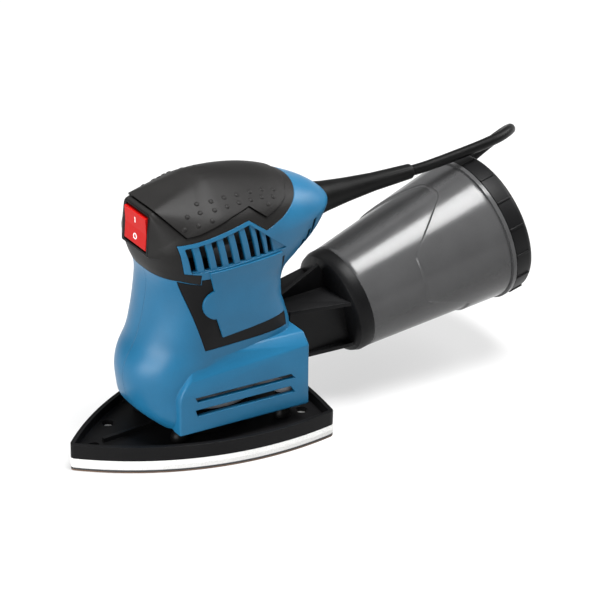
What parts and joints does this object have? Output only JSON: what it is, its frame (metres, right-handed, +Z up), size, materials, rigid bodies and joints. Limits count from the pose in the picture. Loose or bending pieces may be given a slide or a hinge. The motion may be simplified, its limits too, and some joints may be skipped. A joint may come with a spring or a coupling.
{
  "type": "detail mouse sander",
  "caption": "Palm detail sander with a pointed delta sanding plate on an eccentric, rubber grip with rocker switch, rear dust box with filter, and a mains cord.",
  "frame": {"origin": "on the sanding face, on the motor axis", "axes": "+Z up, away from the work; -X towards the tip of the plate; +X towards the dust box; -Y towards the left half of the housing"},
  "size_m": [0.3874, 0.2011, 0.165],
  "materials": {
    "blue_plastic": "fine satin moulding",
    "grip_rubber": "soft matt overmould",
    "black_plastic": "satin moulding",
    "red_plastic": "gloss moulding",
    "smoke_plastic": "clear smoke grey moulding",
    "black_rubber": "smooth rubber",
    "textile": "woven or felted fibre",
    "steel": "machined",
    "iron": "sintered",
    "lamination_steel": "stacked sheet",
    "grey_plastic": "glass filled moulding",
    "copper": "lacquered wire and bare bars",
    "carbon": "pressed carbon",
    "brass_pins": "nickel plated",
    "foam": "closed cell foam",
    "abrasive": "coated grit",
    "capacitor_film": "dipped film capacitor",
    "wire_sheath": "insulated wire"
  },
  "bodies": {
    "housing": {"housing_left": "blue_plastic", "housing_right": "blue_plastic", "grip_shell": "grip_rubber", "grip_pad": "grip_rubber", "side_inlay_left": "black_plastic", "side_inlay_right": "black_plastic", "label_plate_left": "blue_plastic", "label_plate_right": "blue_plastic", "housing_screws": "steel", "switch_frame": "black_plastic", "switch_module": "black_plastic", "cord_relief": "black_rubber", "cord_entry": "black_rubber", "cord_clamp": "black_plastic", "clamp_screws": "steel", "capacitor": "capacitor_film", "wiring": "wire_sheath", "motor_frame": "grey_plastic", "stator_core": "lamination_steel", "field_coils": "copper", "brush_holders": "black_plastic", "brush_spring_left": "steel", "brush_spring_right": "steel", "upper_bearing": "steel", "lower_bearing": "steel", "bearing_sleeve": "black_rubber", "fan_shroud": "black_plastic", "legs": "black_rubber", "leg_screws": "steel", "dust_seal": "black_rubber", "dust_duct": "black_plastic", "cord_lead": "black_rubber", "cord_coil": "black_rubber", "cord_tie": "textile", "plug_body": "black_plastic", "plug_pins": "brass_pins"},
    "rotor": {"motor_shaft": "steel", "shaft_bearing_rings": "steel", "armature_core": "lamination_steel", "armature_windings": "copper", "commutator": "copper", "fan": "grey_plastic", "counterweight": "iron", "pin_bearing_ring": "steel", "pin_screw": "steel"},
    "plate": {"plate_bearing": "steel", "base_plate": "black_plastic", "foam_pad": "foam", "hook_layer": "textile", "sanding_sheet": "abrasive"},
    "rocker": {"switch_rocker": "red_plastic"},
    "dust_box": {"box_adapter": "black_plastic", "dust_canister": "smoke_plastic"},
    "lid": {"box_lid": "black_plastic", "lid_seal": "black_rubber", "filter_frame": "black_plastic", "filter_pleats": "textile"},
    "brush_left": {"brush_left": "carbon"},
    "brush_right": {"brush_right": "carbon"}
  },
  "joints": [
    {"name": "motor_spin", "type": "hinge", "parent": "housing", "child": "rotor", "pos_m": [0, 0, 0.04], "axis": [0, 0, 1], "continuous": true},
    {"name": "plate_orbit", "type": "hinge", "parent": "rotor", "child": "plate", "pos_m": [0.0008, 0, 0.015], "axis": [0, 0, 1], "continuous": true},
    {"name": "switch_rock", "type": "hinge", "parent": "housing", "child": "rocker", "pos_m": [-0.0375, 0, 0.1407], "axis": [0, 1, 0], "range_deg": [0, 9]},
    {"name": "dust_box_pull", "type": "slide", "parent": "housing", "child": "dust_box", "axis": [1, 0, 0], "range_m": [0, 0.018]},
    {"name": "lid_twist", "type": "hinge", "parent": "dust_box", "child": "lid", "pos_m": [0.098, 0, 0.0569], "axis": [0.9781, 0, 0.2079], "range_deg": [0, 30]},
    {"name": "brush_left_slide", "type": "slide", "parent": "housing", "child": "brush_left", "axis": [0, -1, 0], "range_m": [0, 0.002], "stiffness_N_per_m": 250, "springref_m": -0.004, "deforming": ["brush_spring_left"]},
    {"name": "brush_right_slide", "type": "slide", "parent": "housing", "child": "brush_right", "axis": [0, 1, 0], "range_m": [0, 0.002], "stiffness_N_per_m": 250, "springref_m": -0.004, "deforming": ["brush_spring_right"]}
  ],
  "couplings": [
    {"joint": "plate_orbit", "follows": "motor_spin", "ratio": -1}
  ]
}
